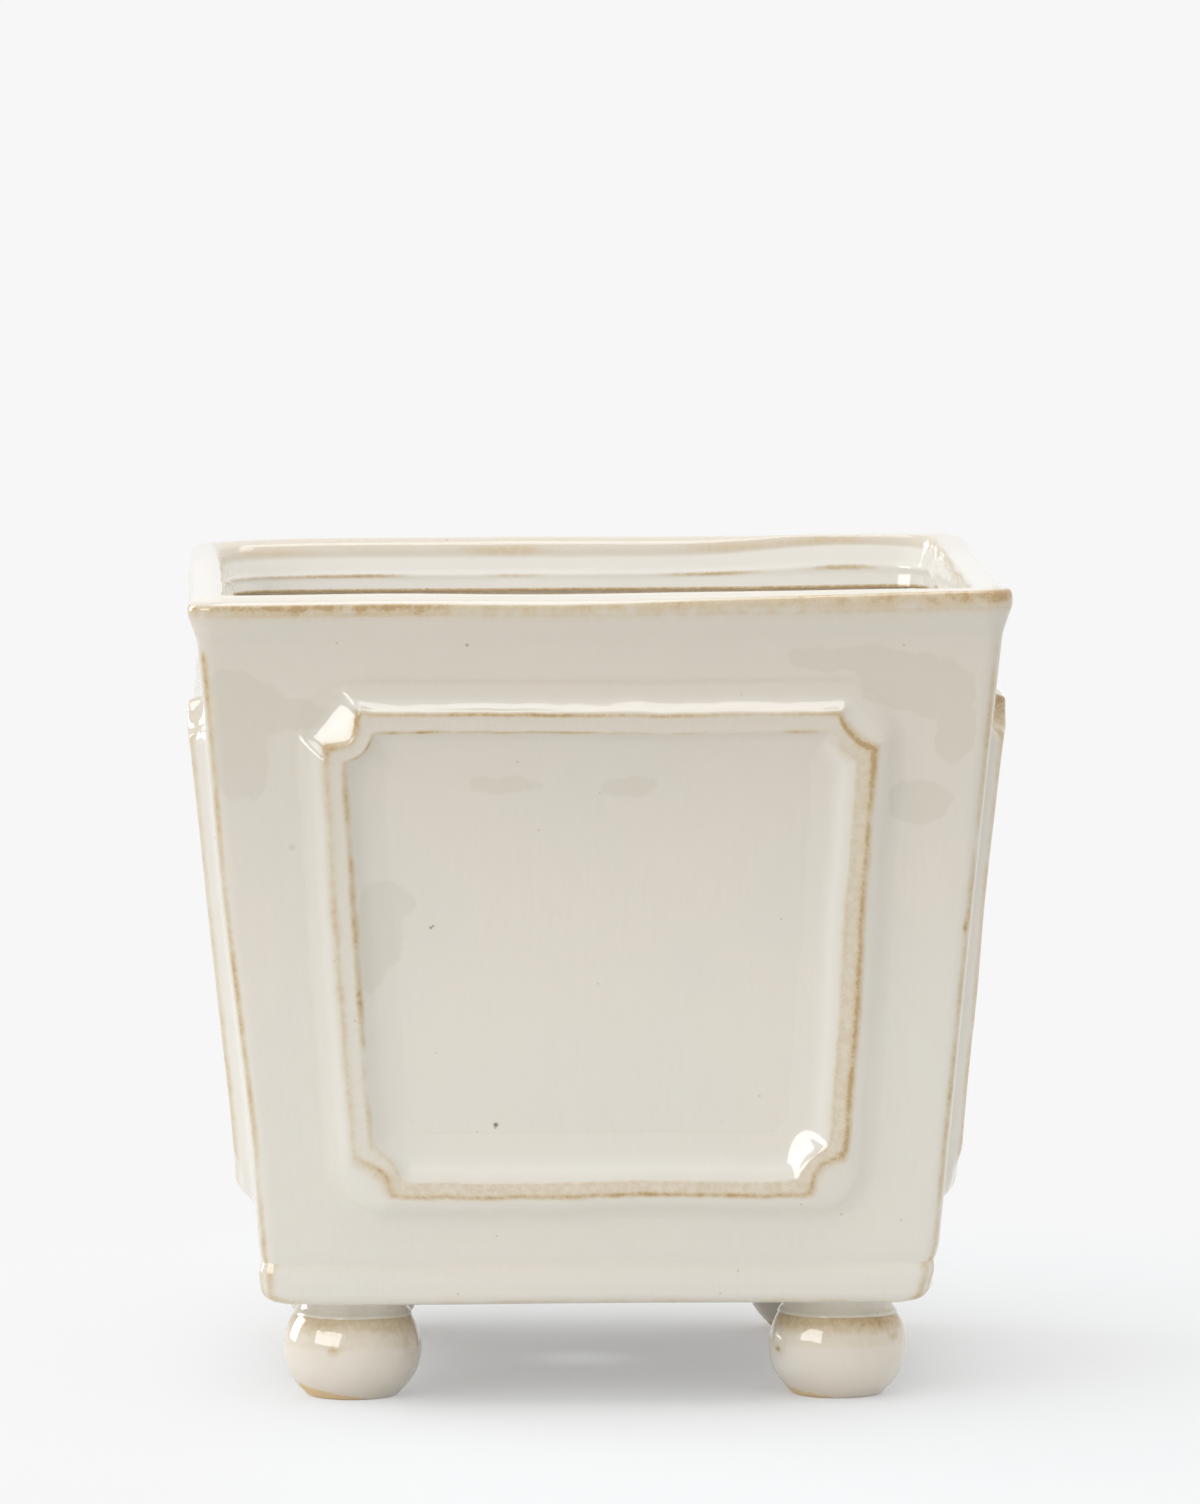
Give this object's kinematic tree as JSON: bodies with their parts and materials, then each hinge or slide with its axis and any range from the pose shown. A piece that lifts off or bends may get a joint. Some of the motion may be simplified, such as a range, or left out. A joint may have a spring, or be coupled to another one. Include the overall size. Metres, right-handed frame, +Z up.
{
  "type": "square footed planter",
  "caption": "Square tapered stoneware planter in cream glaze, with a lipped rim, a notched panel frame on each side and low ball feet.",
  "frame": {"origin": "on the table, under the middle of the planter", "axes": "+Z up, the front faces -Y, +X to the right of someone facing the front"},
  "size_m": [0.2046, 0.2046, 0.2048],
  "materials": {
    "glaze": "glossy cream glaze that breaks to tan on the edges",
    "foot_glaze": "the same glaze over a warmer body, bare clay where the foot stands"
  },
  "bodies": {
    "root": {"base_slab": "glaze", "front_wall": "glaze", "right_wall": "glaze", "back_wall": "glaze", "left_wall": "glaze", "rim_band": "glaze", "front_panel_frame": "glaze", "right_panel_frame": "glaze", "back_panel_frame": "glaze", "left_panel_frame": "glaze", "corner_coil_front_left": "glaze", "corner_coil_front_right": "glaze", "corner_coil_back_right": "glaze", "corner_coil_back_left": "glaze", "floor_coil_front": "glaze", "floor_coil_right": "glaze", "floor_coil_back": "glaze", "floor_coil_left": "glaze", "foot_collar_front_left": "glaze", "foot_collar_front_right": "glaze", "foot_collar_back_right": "glaze", "foot_collar_back_left": "glaze", "ball_foot_front_left": "foot_glaze", "ball_foot_front_right": "foot_glaze", "ball_foot_back_right": "foot_glaze", "ball_foot_back_left": "foot_glaze"}
  },
  "joints": []
}
